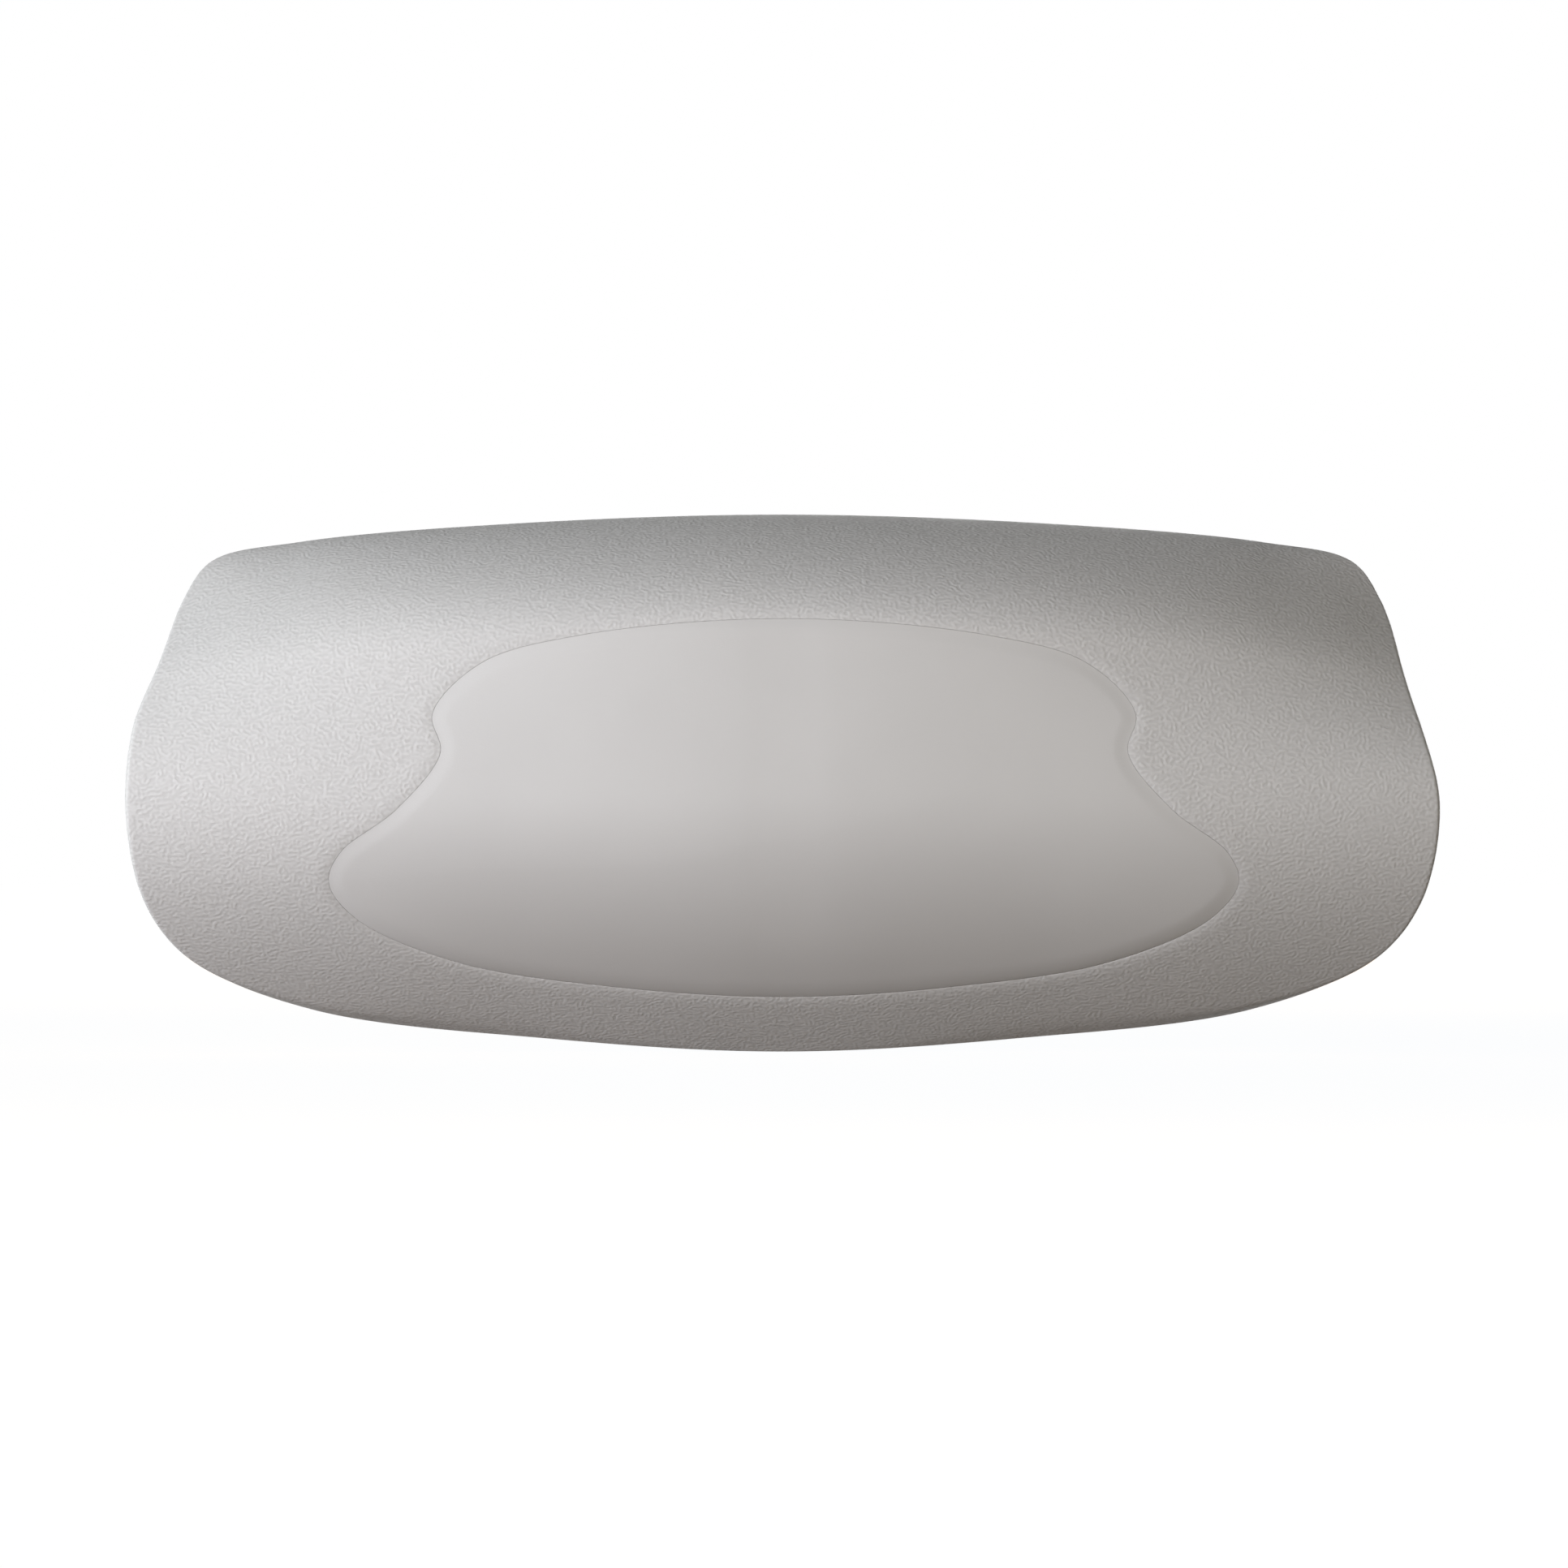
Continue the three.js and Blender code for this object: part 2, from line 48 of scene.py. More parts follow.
print("frame: pillow", round(2 * halfWidth, 4), "m wide and", round(2 * halfHeight, 4), "m high")

# metres; the front faces -Y, +Z is up and the seat that lies on the tub is at y = 0
pillowBody = {
    # right half of the outline, top to bottom: inset from the widest side, then a drop from the top,
    # a rise from the bottom or a height over the middle
    "outline": [
        (None, "drop", 0),
        (0.0800, "drop", 0.0021),
        (0.0370, "drop", 0.0059),
        (0.0184, "drop", 0.0100),
        (0.0125, "drop", 0.0183),
        (0.0076, "height", 0.0240),
        (0.0029, "height", 0.0099),
        (0.0008, "height", -0.0060),
        (0.0047, "rise", 0.0318),
        (0.0146, "rise", 0.0194),
        (0.0398, "rise", 0.0090),
        (0.0900, "rise", 0.0028),
        (None, "rise", 0),
    ],
    "shoulder": 3,  # which of those points is the shoulder's corner
    "widest": 7,  # and which the hip
    "depth": 0.058,  # seat to the crown
    "noseHeight": -0.002,  # the front stands out furthest here
    "undersidePower": 1,  # of a slope or roll: 1 is a parabola and 2 is an ellipse
    "topRoll": (0.0255, 1.3),  # how far in the top edge rolls, and its power
    # the lower edge and the ends slope back from the front to the widest line
    "lowerSlope": (2.6, 60),  # of the lower edge: in the middle, and gain at the ends
    "endSlope": 24,
    "edgeBlend": (4, 10),  # how tightly they turn into the front: in the middle, and gain at the ends
    "endGain": 6,  # how close to the ends those gains and the sway stay: more is closer
    "endSway": (-0.0016, 0.0150, 0.013),  # shift of both ends along x, its height and its reach
    "topSetback": 0.006,  # how much thinner the top is than the nose
    "endSetback": (0.013, 1.5),  # how far the ends fall back, and how late: 1 is a straight slope
    "shoulderSetback": (0.036, 3.2),  # how much further the upper corners do
    "shoulderRound": 0.012,  # how softly the top line levels out past the shoulder
    "flatHalf": 0.008,  # half width of the level middle
    "edgeDepth": 0.009,  # seat to the widest line
    "backRound": 0.007,  # of the edge behind that line
    "seatProud": 0.0006,  # how far the insert's seat stands out of the skin
    "wall": 0.0032,  # of the skin
    "lipRound": 0.0006,  # of the skin's lip round that seat
    "flangeReach": 0.007,  # the insert's flange under the skin's lip
    "seatCorner": 0.022,
    "fitGap": 0.0003,
    "columns": 300,  # on each half of the outline
    "rows": {"recess": 8, "groove": 18, "front": 64, "back": 10, "seat": 5, "lip": 3, "inside": 24},
}

headPad = {
    "outline": [
        (None, "drop", 0.0231),
        (0.0966, "drop", 0.0267),
        (0.0767, "drop", 0.0324),
        (0.0667, "height", 0.0144),
        (0.0684, "height", 0.0064),
        (0.0593, "rise", 0.0519),
        (0.0472, "rise", 0.0426),
        (0.0448, "rise", 0.0364),
        (0.0504, "rise", 0.0288),
        (0.0715, "rise", 0.0195),
        (0.1049, "rise", 0.0142),
        (None, "rise", 0.0121),
    ],
    "widest": 7,
    "belly": (-0.018, -0.038),  # heights between which the groove deepens towards the belly
    "edgeFall": (0.00020, 0.0009),  # of the pad into the groove, at its top and sides and along its belly
    "edgeRoll": 0.0034,  # how far in it rolls
    "edgePower": 1.5,
    "rimFall": (0.00022, 0.0006),  # of the skin into the groove
    "rimRoll": 0.0028,
    "rimPower": (1.0, 1.4),
    "seam": (0.00005, 0.00003),  # left between the pad and the skin
    "recess": 0.0020,
    "collar": 0.0045,  # the stretch round the pad that is laid out square to its edge
    "rows": {"face": 40, "roll": 24, "back": 6},
}

meshLayout = {
    "spineShare": 0.75,  # how long the line is that a ring's columns close in on
    "lastRow": 0.85,  # how near to that line the last row comes
    "crowding": 1.5,  # of the rows by the groove: more brings them closer to it
    "sharpAngle": 50,  # degrees, over which an edge is shaded as a sharp one
}
quarterTurn = math.pi / 2


def smoothLoop(points, perSpan):  # centripetal curve through a closed run of points
    count = len(points)
    share = np.linspace(0, 1, perSpan, endpoint=False)[:, None]
    spans = []
    for i in range(count):
        before, start, end, after = (points[(i + k) % count] for k in (-1, 0, 1, 2))
        pairs = ((before, start), (start, end), (end, after))
        d0, d1, d2 = (math.sqrt(np.linalg.norm(b - a)) for a, b in pairs)
        leave = ((start - before) / d0 - (end - before) / (d0 + d1) + (end - start) / d1) * d1
        arrive = ((end - start) / d1 - (after - start) / (d1 + d2) + (after - end) / d2) * d1
        bend = 3 * (end - start) - 2 * leave - arrive
        twist = 2 * (start - end) + leave + arrive
        spans.append(start + leave * share + bend * share**2 + twist * share**3)
    return np.concatenate(spans)


def outlineHalves(piece, perSpan=400):  # upper half left to right, then lower half right to left
    heights = {"drop": lambda v: halfHeight - v, "rise": lambda v: v - halfHeight, "height": lambda v: v}
    right = []
    for inset, kind, value in piece["outline"]:
        right.append((0.0 if inset is None else halfWidth - inset, heights[kind](value)))
    left = [(-x, z) for x, z in right[-2:0:-1]]
    loop = smoothLoop(np.array(right + left), perSpan)
    hip = piece["widest"] * perSpan
    loop = np.roll(loop, hip, axis=0)  # starts at the left hip
    loop = np.vstack([loop, loop[:1]])
    return loop[:2 * hip + 1], loop[2 * hip:]


def evenly(path, count):  # points at equal steps along a path, without the last one
    steps = np.linalg.norm(np.diff(path, axis=0), axis=1)
    along = np.concatenate([[0], np.cumsum(steps)])
    wanted = np.linspace(0, along[-1], count, endpoint=False)
    return np.column_stack([np.interp(wanted, along, path[:, k]) for k in range(2)])


def ringOf(halves, columns):
    return np.vstack([evenly(half, columns) for half in halves])


def outwardOf(ring):  # straight out of a ring that runs clockwise as seen from the front
    along = np.roll(ring, -1, axis=0) - np.roll(ring, 1, axis=0)
    out = np.column_stack([-along[:, 1], along[:, 0]])
    return out / np.linalg.norm(out, axis=1)[:, None]


def roll(distance, reach, power):  # an edge's roll, 0 at the edge and level at 1 past its reach
    left = 1 - np.clip(distance / reach, 0, 1)
    return (1 - left**2) ** (1 / power)


def eased(share):  # 0 to 1, level at both ends
    share = np.clip(share, 0, 1)
    return share**2 * (3 - 2 * share)


pillowHalves = outlineHalves(pillowBody)
padHalves = outlineHalves(headPad)
upperEdge = pillowHalves[0][len(pillowHalves[0]) // 2:]  # top middle to the right hip
lowerEdge = pillowHalves[1][:len(pillowHalves[1]) // 2 + 1][::-1]  # bottom middle to the right hip
rightSide = np.vstack([lowerEdge, upperEdge[::-1]])  # bottom to top


def softLimit(value, limit, bend):  # the lesser of the two, with the bend between them rounded off
    past = np.clip(value - limit + bend, 0, 2 * bend)
    return np.minimum(value, limit + bend) - past**2 / (4 * bend)


def softLesser(first, second, tightness, least=1e-12):  # the lesser of two, rounded off where they meet
    return first * second / ((first**tightness + second**tightness) ** (1 / tightness) + least)


def frontDepth(x, z):  # distance of the front from the seat, without the pad's recess
    side = np.minimum(np.abs(x), halfWidth)
    shoulderInset = pillowBody["outline"][pillowBody["shoulder"]][0]
    topSide = softLimit(side, halfWidth - shoulderInset, pillowBody["shoulderRound"])
    top = np.interp(topSide, upperEdge[:, 0], upperEdge[:, 1])  # runs level past the shoulder
    bottom = np.interp(side, lowerEdge[:, 0], lowerEdge[:, 1])
    end = np.interp(z, rightSide[:, 1], rightSide[:, 0])
    nose = pillowBody["noseHeight"]
    rise = np.clip((z - nose) / (halfHeight - nose), 0, 1)
    outward = np.clip(side - pillowBody["flatHalf"], 0, None) / (halfWidth - pillowBody["flatHalf"])
    underside = roll(z + halfHeight, nose + halfHeight, pillowBody["undersidePower"])
    bulge = pillowBody["depth"] - pillowBody["edgeDepth"]
    middle = bulge * underside - pillowBody["topSetback"] * rise**2
    endSetback, endBend = pillowBody["endSetback"]
    shoulderSetback, shoulderBend = pillowBody["shoulderSetback"]
    shoulder = shoulderSetback * eased(rise)
    setback = endSetback * outward**endBend + shoulder * outward**shoulderBend
    face = np.maximum(0, middle - setback) * roll(top - z, *pillowBody["topRoll"])
    atEnd = outward ** pillowBody["endGain"]
    lowerSlope, steeper = pillowBody["lowerSlope"]
    lowerEdgeWall = (lowerSlope + steeper * atEnd) * np.maximum(0, z - bottom)
    endWall = pillowBody["endSlope"] * np.maximum(0, end - side)
    blend, tighter = pillowBody["edgeBlend"]
    walls = softLesser(lowerEdgeWall, endWall, blend)
    return pillowBody["edgeDepth"] + softLesser(face, walls, blend + tighter * atEnd)


def frontSlopes(x, z, step=1e-5):  # how the depth changes along x and along z
    slopeX = (frontDepth(x + step, z) - frontDepth(x - step, z)) / (2 * step)
    slopeZ = (frontDepth(x, z + step) - frontDepth(x, z - step)) / (2 * step)
    return slopeX, slopeZ


def onFront(flat, height=0.0):  # x and z points laid on the front, at a height over it
    return np.column_stack([flat[:, 0], -frontDepth(flat[:, 0], flat[:, 1]) - height, flat[:, 1]])


def insetFront(flat, wall):  # the front moved in square to itself
    slopeX, slopeZ = frontSlopes(flat[:, 0], flat[:, 1])
    out = np.column_stack([-slopeX, -np.ones(len(flat)), -slopeZ])
    out /= np.linalg.norm(out, axis=1)[:, None]
    return onFront(flat) - wall * out


def atDepth(flat, y):
    return np.column_stack([flat[:, 0], np.full(len(flat), y), flat[:, 1]])


def spineOf(ring):  # the line that a ring's columns close in on, one point for each column pair
    half = len(ring) // 2
    upper = ring[:half + 1]
    lower = np.vstack([ring[:1], ring[:half - 1:-1]])
    along = meshLayout["spineShare"] * (upper[:, 0] + lower[:, 0]) / 2
    return np.column_stack([along, np.full(half + 1, ring[0, 1])])


def spineAround(spine):  # the spine's points repeated for every column of the ring
    return np.vstack([spine, spine[-2:0:-1]])


def steps(count, last=1.0):  # equal steps from 0 up to the last value, without the 0
    return np.linspace(0, last, count + 1)[1:]


def newPiece(name, mesh, material):
    piece = bpy.data.objects.new(name, mesh)
    bpy.context.scene.collection.objects.link(piece)
    mesh.materials.clear()
    mesh.materials.append(material)
    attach(piece, "root")
    return piece


def swayed(points):  # the ends shifted a little, so that the left one is rounder than the right one
    far, height, reach = pillowBody["endSway"]
    moved = points.copy()
    near = np.exp(-((points[:, 2] - height) / reach) ** 2)
    moved[:, 0] += far * near * np.abs(points[:, 0] / halfWidth) ** pillowBody["endGain"]
    return moved


def finishMesh(mesh, sharpAngle):  # faces out, smooth but for the sharp edges
    work = bmesh.new()
    work.from_mesh(mesh)
    if work.calc_volume(signed=True) < 0:
        bmesh.ops.reverse_faces(work, faces=work.faces)
    work.to_mesh(mesh)
    work.free()
    mesh.shade_smooth()
    mesh.set_sharp_from_angle(angle=math.radians(sharpAngle))
    mesh.validate()
    mesh.update()


def closedSkin(name, firstSpine, rows, lastSpine):  # rings of points between two spines
    count = len(rows[0])
    half = count // 2
    onSpine = [i if i <= half else count - i for i in range(count)]
    points = swayed(np.vstack([firstSpine, *rows, lastSpine]))
    faces = []
    start = len(firstSpine)
    last = start + len(rows) * count
    for i in range(count):
        j = (i + 1) % count
        cap = [onSpine[i], onSpine[j], start + j, start + i]
        faces.append(list(dict.fromkeys(cap)))
        for row in range(len(rows) - 1):
            a = start + row * count
            faces.append([a + i, a + j, a + count + j, a + count + i])
        a = last - count
        cap = [a + i, a + j, last + onSpine[j], last + onSpine[i]]
        faces.append(list(dict.fromkeys(cap)))
    mesh = bpy.data.meshes.new(name)
    mesh.from_pydata(points.tolist(), [], faces)
    finishMesh(mesh, meshLayout["sharpAngle"])
    return mesh


# shader maths as Python: a wrapped output takes part in + - * and the rest comes from one node maker
class Wire:
    def __init__(self, finish, socket):
        self.finish = finish
        self.socket = socket

    def maths(self, operation, first, second):
        return self.finish.node("Math", {"operation": operation}, {0: first, 1: second})

    def __add__(self, other):
        return self.maths("ADD", self, other)

    def __radd__(self, other):
        return self.maths("ADD", other, self)

    def __sub__(self, other):
        return self.maths("SUBTRACT", self, other)

    def __rsub__(self, other):
        return self.maths("SUBTRACT", other, self)

    def __mul__(self, other):
        return self.maths("MULTIPLY", self, other)

    def __rmul__(self, other):
        return self.maths("MULTIPLY", other, self)


class Finish:  # a material, or the world, and its nodes
    def __init__(self, name, owner=None):
        self.owner = owner or bpy.data.materials.new(name)
        self.owner.use_nodes = True
        self.tree = self.owner.node_tree
        self.tree.nodes.clear()

    def node(self, kind, settings=None, inputs=None, out=0):
        made = self.tree.nodes.new("ShaderNode" + kind)
        for name, value in (settings or {}).items():
            setattr(made, name, value)
        for name, value in (inputs or {}).items():
            if isinstance(value, Wire):
                self.tree.links.new(value.socket, made.inputs[name])
            else:
                made.inputs[name].default_value = value
        return Wire(self, made.outputs[out] if len(made.outputs) else None)

    def millimetres(self):  # the place on the piece, counted in millimetres
        place = self.node("TexCoord", out="Object")
        return self.node("VectorMath", {"operation": "SCALE"}, {0: place, "Scale": 1000})

    def noise(self, place, pitch, detail=3.0):  # pitch in millimetres
        return self.node("TexNoise", None, {"Vector": place, "Scale": 1 / pitch, "Detail": detail}, "Fac")

    def clampedRange(self, value, low, high, newLow=0.0, newHigh=1.0):
        inputs = {"Value": value, "From Min": low, "From Max": high, "To Min": newLow, "To Max": newHigh}
        return self.node("MapRange", {"interpolation_type": "SMOOTHSTEP"}, inputs)

    def clouds(self, place, pitch, most=1.0, low=0.3, high=0.7):  # broad soft patches, 0 up to the most
        return self.clampedRange(self.noise(place, pitch, detail=2.0), low, high, newHigh=most)

    def mixed(self, factor, first, second):  # of two colours
        return self.node("Mix", {"data_type": "RGBA"}, {0: factor, 6: first, 7: second}, 2)

    def bump(self, height, depth):  # depth in metres
        return self.node("Bump", None, {"Height": height, "Distance": depth})

    def surface(self, **sockets):  # a socket's name with _ for each space
        inputs = {name.replace("_", " "): value for name, value in sockets.items()}
        shader = self.node("BsdfPrincipled", None, inputs)
        self.node("OutputMaterial", None, {"Surface": shader})
        return self.owner


def linear(red, green, blue):  # a colour as a picture gives it, 0 to 255, for a shader
    def channel(value):
        share = value / 255
        return share / 12.92 if share <= 0.04045 else ((share + 0.055) / 1.055) ** 2.4
    return (channel(red), channel(green), channel(blue), 1.0)


# finishes: pitches in millimetres, depths in metres
grainedLook = {
    # lighter on the grain's ridges and darker in its valleys: partly the grain's own tone, partly painted
    # sheen on the ridges and painted shade in the valleys
    "ridgeWithSheen": linear(203, 201, 199),
    "valleyInShade": linear(191, 189, 187),
    "patches": 0.60,  # to a millimetre; the grain's lines turn from one patch to the next
    "waves": 1.6,  # of the grain, to a patch
    "flanks": (0.25, 0.75),  # where along a wave its valley ends and its ridge begins
    "depth": 0.00006,
    "fine": (0.25, 0.15),  # finer unevenness on the grain: its pitch and its share of the height
    "cloudColour": linear(176, 177, 178),
    "clouds": (45.0, 0.06),  # pitch, and how much of their colour they have
    "roughness": (0.56, 0.68),  # of ridges and of valleys
    "specular": 0.35,
}


def grainedFinish():
    finish = Finish("grained_skin")
    place = finish.millimetres()
    inputs = {
        "Vector": place,
        "Scale": grainedLook["patches"],
        "Frequency": grainedLook["waves"],
        "Anisotropy": 0.0,
    }
    waves = finish.node("TexGabor", {"gabor_type": "3D"}, inputs, "Value")
    grain = finish.clampedRange(waves, *grainedLook["flanks"])
    finePitch, fineShare = grainedLook["fine"]
    height = grain + fineShare * finish.noise(place, finePitch)
    # painted sheen on the grain's ridges and painted shade in its valleys, over the grain's own tone
    tone = finish.mixed(grain, grainedLook["valleyInShade"], grainedLook["ridgeWithSheen"])
    tone = finish.mixed(finish.clouds(place, *grainedLook["clouds"]), tone, grainedLook["cloudColour"])
    smooth, rough = grainedLook["roughness"]
    return finish.surface(
        Base_Color=tone,
        Roughness=rough - (rough - smooth) * grain,
        Normal=finish.bump(height, grainedLook["depth"]),
        Specular_IOR_Level=grainedLook["specular"])


padLook = {
    "colour": linear(200, 198, 196),
    "shade": linear(197, 195, 193),
    "clouds": 38.0,  # pitch of the two
    "roughness": (0.54, 0.64),
    "rubbed": 6.0,  # pitch of the smoother and rougher places
    "texture": (0.35, 0.00002),  # pitch and depth
    "specular": 0.35,
}


def padFinish():
    finish = Finish("head_pad")
    place = finish.millimetres()
    tone = finish.mixed(finish.clouds(place, padLook["clouds"]), padLook["shade"], padLook["colour"])
    smooth, rough = padLook["roughness"]
    pitch, depth = padLook["texture"]
    return finish.surface(
        Base_Color=tone,
        Roughness=smooth + (rough - smooth) * finish.noise(place, padLook["rubbed"]),
        Normal=finish.bump(finish.noise(place, pitch), depth),
        Specular_IOR_Level=padLook["specular"])


foamLook = {
    # darker in the cells' hollows: painted shade
    "hollow": linear(170, 168, 163),
    "wall": linear(190, 188, 183),
    "cells": 1.4,  # to a millimetre
    "depth": 0.0003,
    "roughness": 0.95,
    "specular": 0.2,
}


def foamFinish():
    finish = Finish("foam")
    inputs = {"Vector": finish.millimetres(), "Scale": foamLook["cells"]}
    cells = finish.node("TexVoronoi", None, inputs, "Distance")
    return finish.surface(
        # the cells' hollows darker than their walls: painted shade in the hollows
        Base_Color=finish.mixed(cells, foamLook["hollow"], foamLook["wall"]),
        Roughness=foamLook["roughness"],
        Normal=finish.bump(cells, foamLook["depth"]),
        Specular_IOR_Level=foamLook["specular"])


insertLook = {
    "colour": linear(150, 152, 153),
    "shade": linear(146, 148, 149),
    "clouds": 22.0,  # pitch of the two
    "roughness": (0.55, 0.12),  # mean and spread
    "texture": (0.5, 0.00004),  # pitch and depth
    "specular": 0.4,
}
pinLook = {
    "colour": linear(230, 230, 225),
    "shade": linear(222, 222, 216),
    "clouds": 22.0,
    "roughness": (0.42, 0.12),
    "texture": (0.3, 0.00004),
    "specular": 0.4,
}


def plasticFinish(name, look):
    finish = Finish(name)
    place = finish.millimetres()
    pitch, depth = look["texture"]
    sparks = finish.noise(place, pitch)
    mean, spread = look["roughness"]
    return finish.surface(
        Base_Color=finish.mixed(finish.clouds(place, look["clouds"]), look["shade"], look["colour"]),
        Roughness=mean + spread * (sparks - 0.5),
        Normal=finish.bump(sparks, depth),
        Specular_IOR_Level=look["specular"])


steelLook = {
    "colour": linear(200, 202, 204),
    "shade": linear(176, 179, 182),
    "brush": (0.3, 9.0, 9.0),  # marks to a millimetre along x, y and z: they run along x
    "detail": 4.0,
    "roughness": (0.24, 0.42),
    "depth": 0.00001,
}


def steelFinish():
    finish = Finish("stainless")
    place = finish.millimetres()
    brushed = finish.node("VectorMath", {"operation": "MULTIPLY"}, {0: place, 1: steelLook["brush"]})
    marks = finish.noise(brushed, pitch=1.0, detail=steelLook["detail"])
    smooth, rough = steelLook["roughness"]
    return finish.surface(
        Base_Color=finish.mixed(marks, steelLook["shade"], steelLook["colour"]),
        Metallic=1.0,
        Roughness=smooth + (rough - smooth) * marks,
        Normal=finish.bump(marks, steelLook["depth"]))


def byHeight(flat, values):  # the first at the pad's top and sides, the second along its belly
    start, end = headPad["belly"]
    return values[0] + (values[1] - values[0]) * eased((flat[:, 1] - start) / (end - start))


def openingRing(columns, cornerPoints=40):  # rounded opening for the insert's seat
    grow = pillowBody["fitGap"] - pillowBody["flangeReach"]
    halfX = insertHigh[0] + grow
    halfZ = insertHigh[2] + grow
    corner = pillowBody["seatCorner"] + pillowBody["fitGap"]
    path = [(-halfX, 0.0)]
    for x, z, first in ((-1, 1, 2), (1, 1, 1), (1, -1, 0), (-1, -1, -1)):  # first counts quarter turns
        for turn in np.linspace(0, quarterTurn, cornerPoints):
            angle = first * quarterTurn - turn
            path.append((x * (halfX - corner) + corner * math.cos(angle),
                         z * (halfZ - corner) + corner * math.sin(angle)))
    path.append((-halfX, 0.0))
    path = np.array(path)
    middle = len(path) // 2
    upper = np.vstack([path[:middle], [(halfX, 0.0)]])
    lower = np.vstack([[(halfX, 0.0)], path[middle:]])
    return ringOf((upper, lower), columns)


# pillow skin: front, groove, back edge, lip round the insert and the inside, as one closed shell
def skinMesh():
    columns = pillowBody["columns"]
    rowCount = pillowBody["rows"]
    wall = pillowBody["wall"]
    edgeDepth = pillowBody["edgeDepth"]
    seatProud = pillowBody["seatProud"]
    lipRound = pillowBody["lipRound"]
    outer = ringOf(pillowHalves, columns)
    outerOut = outwardOf(outer)
    padRing = ringOf(padHalves, columns)
    padOut = outwardOf(padRing)
    floorRing = padRing + padOut * byHeight(padRing, headPad["seam"])[:, None]
    floorSpine = spineOf(floorRing)
    floorAround = spineAround(floorSpine)
    rows = []
    # recess floor, from its spine out to the wall
    for share in np.linspace(meshLayout["lastRow"], 0, rowCount["recess"]):
        rows.append(onFront(floorRing * (1 - share) + floorAround * share, -headPad["recess"]))
    rows.append(onFront(floorRing, -byHeight(floorRing, headPad["rimFall"])))
    # up out of the groove, square to the pad's edge
    for share in steps(rowCount["groove"]) ** meshLayout["crowding"]:
        flat = floorRing + padOut * headPad["collar"] * share
        rolled = roll(headPad["collar"] * share, headPad["rimRoll"], byHeight(flat, headPad["rimPower"]))
        rows.append(onFront(flat, byHeight(flat, headPad["rimFall"]) * (rolled - 1)))
    collar = floorRing + padOut * headPad["collar"]
    for turn in steps(rowCount["front"], quarterTurn):  # out to the widest line
        share = math.sin(turn)
        rows.append(onFront(collar * (1 - share) + outer * share))
    rows[-1][:, 1] = -edgeDepth
    for turn in steps(rowCount["back"], quarterTurn):  # round the back edge
        inward = pillowBody["backRound"] * (1 - math.cos(turn))
        y = (edgeDepth - seatProud) * math.sin(turn) - edgeDepth
        rows.append(atDepth(outer - outerOut * inward, y))
    backRing = outer - outerOut * pillowBody["backRound"]
    opening = openingRing(columns)
    openingOut = outwardOf(opening)
    for share in steps(rowCount["seat"]):  # over the flat back to the lip
        edge = opening + openingOut * lipRound
        rows.append(atDepth(backRing * (1 - share) + edge * share, -seatProud))
    for turn in steps(rowCount["lip"], quarterTurn):  # round the lip
        edge = opening + openingOut * lipRound * (1 - math.sin(turn))
        rows.append(atDepth(edge, -seatProud - lipRound * (1 - math.cos(turn))))
    rows.append(atDepth(opening, -seatProud - wall))
    rows.append(atDepth(backRing, -seatProud - wall))
    inner = outer - outerOut * wall
    rows.append(atDepth(inner, -edgeDepth))
    innerSpine = spineOf(outer)
    innerAround = spineAround(innerSpine)
    for turn in np.linspace(0, quarterTurn, rowCount["inside"], endpoint=False):  # inside of the front
        share = 1 - math.cos(turn)
        rows.append(insetFront(inner * (1 - share) + innerAround * share, wall))
    firstSpine = onFront(floorSpine, -headPad["recess"])
    return closedSkin("pillow_skin", firstSpine, rows, insetFront(innerSpine, wall))


def padHeight(flat, share):  # of the pad over the skin, at a share of the way in over its rolled edge
    rolled = roll(share, 1, headPad["edgePower"])
    form = byHeight(flat, (0, 1)) * (rolled - eased(share)) + eased(share)
    return byHeight(flat, headPad["edgeFall"]) * form - byHeight(flat, headPad["rimFall"])


def padMesh():
    rowCount = headPad["rows"]
    ring = ringOf(padHalves, pillowBody["columns"])
    out = outwardOf(ring)
    back = pillowBody["fitGap"] - headPad["recess"]
    spine = spineOf(ring)
    around = spineAround(spine)
    shoulder = ring - out * headPad["edgeRoll"]
    rows = []
    for share in steps(rowCount["face"]):  # from the spine out to the roll of the edge
        flat = around * (1 - share) + shoulder * share
        rows.append(onFront(flat, padHeight(flat, 1)))
    # down into the groove, sharper along the belly
    for share in (1 - steps(rowCount["roll"])) ** meshLayout["crowding"]:
        flat = ring - out * headPad["edgeRoll"] * share
        rows.append(onFront(flat, padHeight(flat, share)))
    rows.append(onFront(ring, back))
    for share in steps(rowCount["back"], meshLayout["lastRow"]):  # back in along the pad's underside
        rows.append(onFront(ring * (1 - share) + around * share, back))
    return closedSkin("pillow_pad", onFront(spine, padHeight(spine, 1)), rows, onFront(spine, back))


skin = newPiece("pillow_skin", skinMesh(), grainedFinish())
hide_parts("grained_skin")
pad = newPiece("pillow_pad", padMesh(), padFinish())
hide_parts("head_pad")
print("skin:", len(skin.data.polygons), "faces, pad:", len(pad.data.polygons), "faces")

# foam inside the skin: the moulded block with its pockets, softened
foamFilling = {
    "clear": 0.0020,  # kept from what it surrounds
    "cell": 0.0015,
    "soften": 2,
    "sharpAngle": 60,
    "weld": 1e-6,  # points this close are one
}


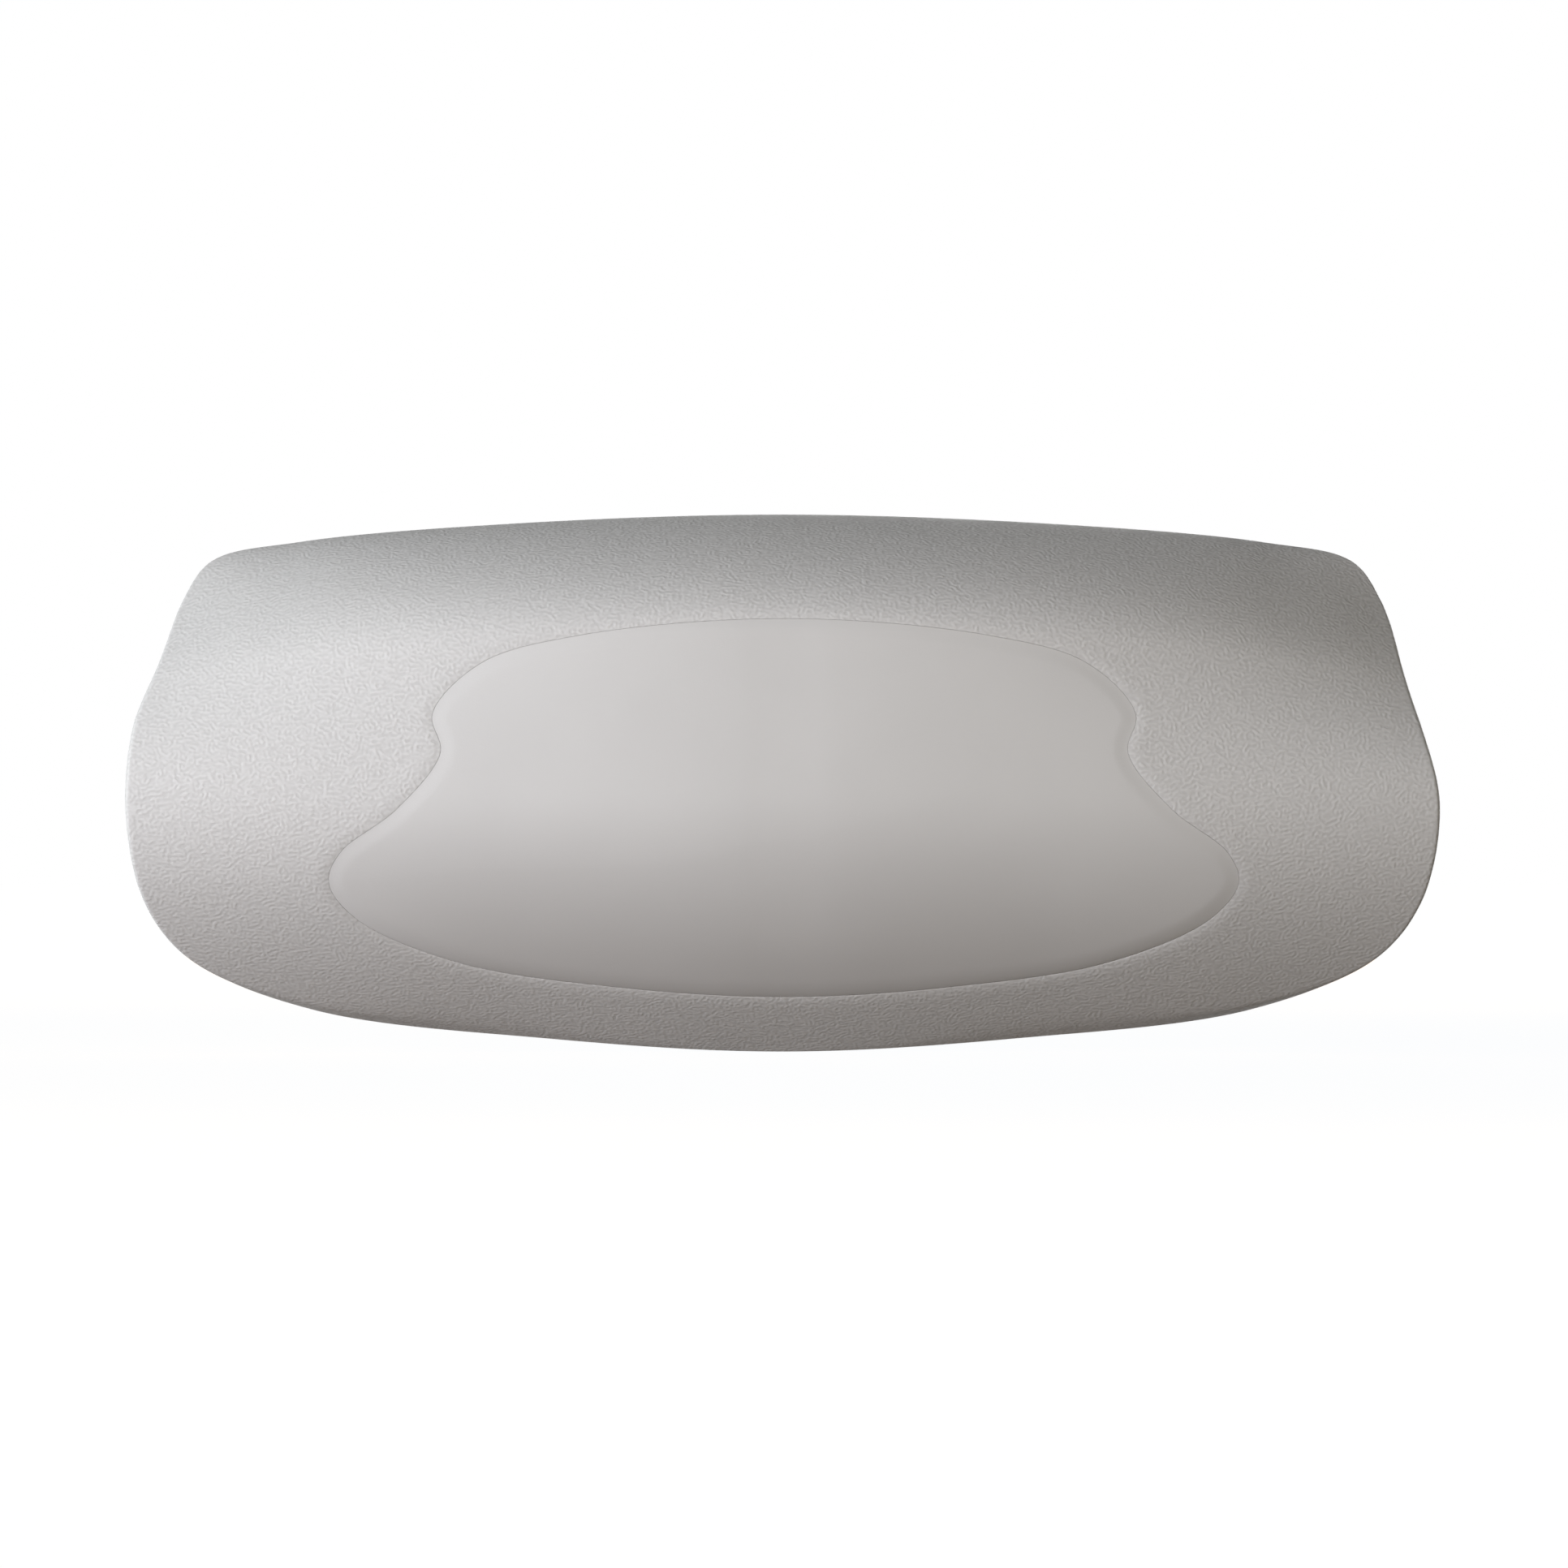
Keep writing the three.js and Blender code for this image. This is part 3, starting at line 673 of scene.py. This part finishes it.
def foamMesh():
    block = bpy.data.objects.new("foam_block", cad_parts["foam_core"].data.copy())
    bpy.context.scene.collection.objects.link(block)
    work = bmesh.new()
    work.from_mesh(block.data)
    bmesh.ops.remove_doubles(work, verts=work.verts, dist=foamFilling["weld"])
    work.to_mesh(block.data)
    work.free()
    shrink = block.modifiers.new("shrink", "DISPLACE")
    shrink.strength = -foamFilling["clear"]
    shrink.mid_level = 0
    remesh = block.modifiers.new("cells", "REMESH")
    remesh.mode = "VOXEL"
    remesh.voxel_size = foamFilling["cell"]
    soften = block.modifiers.new("soften", "SMOOTH")
    soften.iterations = foamFilling["soften"]
    graph = bpy.context.evaluated_depsgraph_get()
    mesh = bpy.data.meshes.new_from_object(block.evaluated_get(graph))
    bpy.data.objects.remove(block)
    mesh.name = "foam_filling"
    points = np.array([vertex.co for vertex in mesh.vertices])
    slopes = frontSlopes(points[:, 0], points[:, 2])
    cover = (pillowBody["wall"] + foamFilling["clear"]) * np.sqrt(1 + slopes[0]**2 + slopes[1]**2)
    deepest = frontDepth(points[:, 0], points[:, 2]) - cover  # the foam stays under the skin's inside
    points[:, 1] = np.maximum(points[:, 1], -deepest)
    mesh.vertices.foreach_set("co", swayed(points).ravel())
    finishMesh(mesh, foamFilling["sharpAngle"])
    return mesh


foam = newPiece("foam_filling", foamMesh(), foamFinish())
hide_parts("foam_core")
print("foam:", len(foam.data.polygons), "faces")

# rigid pieces keep their own shapes and get finishes
rigidFinishes = {
    "rear_insert": plasticFinish("insert_plastic", insertLook),
    "mounting_pin": plasticFinish("pin_plastic", pinLook),
    "pin_screw": steelFinish(),
}
rigidFinishes["pin_washer"] = rigidFinishes["pin_screw"]
for name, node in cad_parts.items():
    for ending, material in rigidFinishes.items():
        if name.endswith(ending):
            node.data.materials.clear()
            node.data.materials.append(material)
print("rigid pieces finished")

# stage, lamps and camera
stage = {
    "floorSize": 6.0,
    "floorColour": (0.10, 0.05, 0.01, 1.0),
    "nearGlow": (0.945, 0.967, 0.987, 1.0),  # the floor's own white, where lamps light it too
    "farGlow": (1.0, 1.0, 1.0, 1.0),  # and beyond them
    "glowReach": (0.25, 0.80),  # distances from the middle between which one turns into the other
    "world": 0.036,  # level of the light from all round
    "lens": 200.0,  # millimetres, as the sensor
    "sensor": 36.0,
    "frameWidth": 0.3346,  # what the picture spans at the pillow
    "pictureCentre": (0.0004, -0.0002),
    "standLeft": 0.020,  # how far left of the middle the camera stands
}
# azimuth from the front, positive to the right, and elevation, in degrees; size across and up in metres
lamps = {
    "key": {"from": (-48, 5), "size": (1.3, 0.5), "power": 12.4, "colour": (0.90, 0.915, 1.0)},
    "side": {"from": (-85, 12), "size": (0.5, 0.5), "power": 3.3, "colour": (0.88, 1.0, 0.94)},
    "fill": {"from": (12, 5), "size": (0.5, 0.5), "power": 2.5, "colour": (1.0, 0.945, 0.78)},
    "rear": {"from": (165, 6), "size": (0.9, 0.5), "power": 8.0, "colour": (1.0, 1.0, 1.0)},
}
lampDistance = 1.0
lampTarget = (0, -0.03, 0)


def seenFloor(finish):  # 1 for what the camera sees straight, mirrored or through something clear
    path = finish.node("LightPath").socket.node
    rays = ("Is Camera Ray", "Is Glossy Ray", "Is Transmission Ray")
    straight, mirrored, through = (Wire(finish, path.outputs[ray]) for ray in rays)
    return finish.node("Math", {"operation": "MAXIMUM"}, {0: straight, 1: mirrored + through})


def floorFinish():
    finish = Finish("floor")
    diffuse = finish.node("BsdfDiffuse", None, {"Color": stage["floorColour"]})
    place = finish.node("TexCoord", out="Object")
    away = finish.node("VectorMath", {"operation": "LENGTH"}, {0: place}, "Value")
    further = finish.clampedRange(away, *stage["glowReach"])
    white = finish.mixed(further, stage["nearGlow"], stage["farGlow"])
    glow = finish.node("Emission", None, {"Color": white, "Strength": seenFloor(finish)})
    both = finish.node("AddShader", None, {0: diffuse, 1: glow})
    finish.node("OutputMaterial", None, {"Surface": both})
    return finish.owner


floorHalf = stage["floorSize"] / 2
floorMesh = bpy.data.meshes.new("floor")
floorCorners = [(x * floorHalf, y * floorHalf, 0) for x, y in ((-1, -1), (1, -1), (1, 1), (-1, 1))]
floorMesh.from_pydata(floorCorners, [], [(0, 1, 2, 3)])
floor = bpy.data.objects.new("floor", floorMesh)
floor.location.z = skinLow[2]
floor.visible_shadow = False  # a light table: what is below it of the lamps shines through
floorMesh.materials.append(floorFinish())
bpy.context.scene.collection.objects.link(floor)

world = bpy.data.worlds.new("studio")
bpy.context.scene.world = world
sky = Finish("studio", world)
level = stage["world"] + (1 - stage["world"]) * seenFloor(sky)  # white where it is seen
background = sky.node("Background", None, {"Color": (1, 1, 1, 1), "Strength": level})
sky.node("OutputWorld", None, {"Surface": background})


def aim(thing, place, target):
    thing.location = place
    x, y, z = np.array(target) - np.array(place)
    tilt = math.atan2(z, math.hypot(x, y))
    thing.rotation_euler = (quarterTurn + tilt, 0, math.atan2(-x, y))


for name, lamp in lamps.items():
    light = bpy.data.lights.new(name, "AREA")
    light.shape = "ELLIPSE"
    light.size, light.size_y = lamp["size"]
    light.energy = lamp["power"]
    light.color = lamp["colour"]
    holder = bpy.data.objects.new(name, light)
    bpy.context.scene.collection.objects.link(holder)
    holder.visible_camera = False
    turn, up = (math.radians(angle) for angle in lamp["from"])
    toLamp = np.array((math.sin(turn) * math.cos(up), -math.cos(turn) * math.cos(up), math.sin(up)))
    aim(holder, lampTarget + lampDistance * toLamp, lampTarget)

camera = bpy.data.objects.new("camera", bpy.data.cameras.new("camera"))
bpy.context.scene.collection.objects.link(camera)
camera.data.sensor_width = stage["sensor"]
camera.data.lens = stage["lens"]
distance = stage["lens"] / stage["sensor"] * stage["frameWidth"]
centreX, centreZ = stage["pictureCentre"]
outlineY = -pillowBody["edgeDepth"]
aim(camera, (centreX - stage["standLeft"], outlineY - distance, centreZ), (centreX, outlineY, centreZ))
bpy.context.scene.camera = camera
bpy.context.scene.view_settings.view_transform = "Standard"
print("stage, lamps and camera set")
